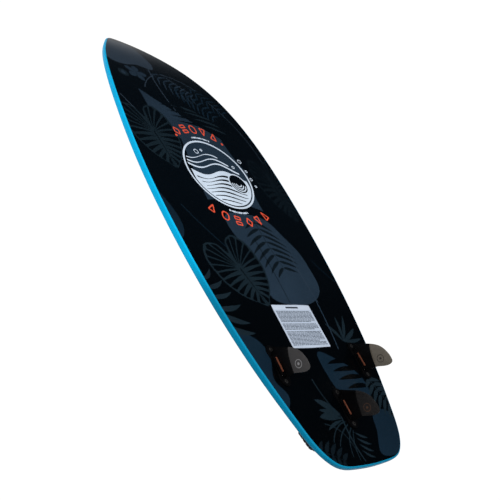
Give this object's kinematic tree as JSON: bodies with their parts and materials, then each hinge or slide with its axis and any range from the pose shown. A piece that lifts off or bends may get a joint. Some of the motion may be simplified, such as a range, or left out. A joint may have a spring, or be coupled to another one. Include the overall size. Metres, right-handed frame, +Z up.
{
  "type": "wakesurf board",
  "caption": "Foam-core wakesurf board with a pointed nose, squash tail, moulded rail, quick-release surf fins with lever latches, and foam traction with an arch bar and kick.",
  "frame": {"origin": "on the flat of the bottom, on the centreline, halfway along the board", "axes": "+X to the nose, +Y to port, +Z up through the deck; the fins hang towards -Z"},
  "size_m": [1.4257, 0.521, 0.1859],
  "materials": {
    "foam_core": "fine closed-cell bead foam",
    "stringer_wood": "bare paulownia strip",
    "hard_foam": "dense foam block",
    "bottom_print": "printed leaf artwork under clear gloss",
    "deck_gloss": "satin gloss",
    "rail_cyan": "satin moulded cyan",
    "fin_black": "fine moulded grain",
    "fin_smoke": "smoke-clear, polished",
    "latch_orange": "moulded satin orange",
    "steel": "stainless, turned",
    "brass": "knurled",
    "eva_foam": "brushed closed-cell foam",
    "sticker": "printed vinyl film"
  },
  "bodies": {
    "board": {"foam_core_port": "foam_core", "foam_core_starboard": "foam_core", "stringer": "stringer_wood", "fin_block_port": "hard_foam", "fin_block_starboard": "hard_foam", "fin_block_centre": "hard_foam", "bottom_skin": "bottom_print", "deck_skin": "deck_gloss", "rail": "rail_cyan", "fin_base_port": "fin_black", "fin_base_starboard": "fin_black", "fin_base_centre": "fin_black", "latch_pin_port": "steel", "latch_pin_starboard": "steel", "latch_pin_centre": "steel", "base_screws": "steel", "threaded_inserts": "brass", "front_pad_port": "eva_foam", "front_pad_centre": "eva_foam", "front_pad_starboard": "eva_foam", "tail_pad_port": "eva_foam", "tail_pad_centre": "eva_foam", "tail_pad_starboard": "eva_foam", "kick": "eva_foam", "arch_bar": "eva_foam", "info_sticker": "sticker"},
    "fin_port": {"fin_root_port": "fin_black", "fin_tip_port": "fin_smoke"},
    "lever_port": {"latch_lever_port": "latch_orange"},
    "fin_starboard": {"fin_root_starboard": "fin_black", "fin_tip_starboard": "fin_smoke"},
    "lever_starboard": {"latch_lever_starboard": "latch_orange"},
    "fin_centre": {"fin_root_centre": "fin_black", "fin_tip_centre": "fin_smoke"},
    "lever_centre": {"latch_lever_centre": "latch_orange"}
  },
  "joints": [
    {"name": "fin_port_slide", "type": "slide", "parent": "board", "child": "fin_port", "axis": [0, 0, -1], "range_m": [0, 0.018]},
    {"name": "fin_starboard_slide", "type": "slide", "parent": "board", "child": "fin_starboard", "axis": [0, 0, -1], "range_m": [0, 0.018]},
    {"name": "fin_centre_slide", "type": "slide", "parent": "board", "child": "fin_centre", "axis": [0, 0, -1], "range_m": [0, 0.018]},
    {"name": "lever_port_turn", "type": "hinge", "parent": "board", "child": "lever_port", "pos_m": [-0.46269, 0.1453, -0.00431], "axis": [-0.9997, 0.0262, 0], "range_deg": [0, 75]},
    {"name": "lever_starboard_turn", "type": "hinge", "parent": "board", "child": "lever_starboard", "pos_m": [-0.46231, -0.1595, -0.00431], "axis": [-0.9997, -0.0262, 0], "range_deg": [0, 75]},
    {"name": "lever_centre_turn", "type": "hinge", "parent": "board", "child": "lever_centre", "pos_m": [-0.578, -0.0071, -0.00322], "axis": [-1, 0, 0], "range_deg": [0, 75]}
  ]
}
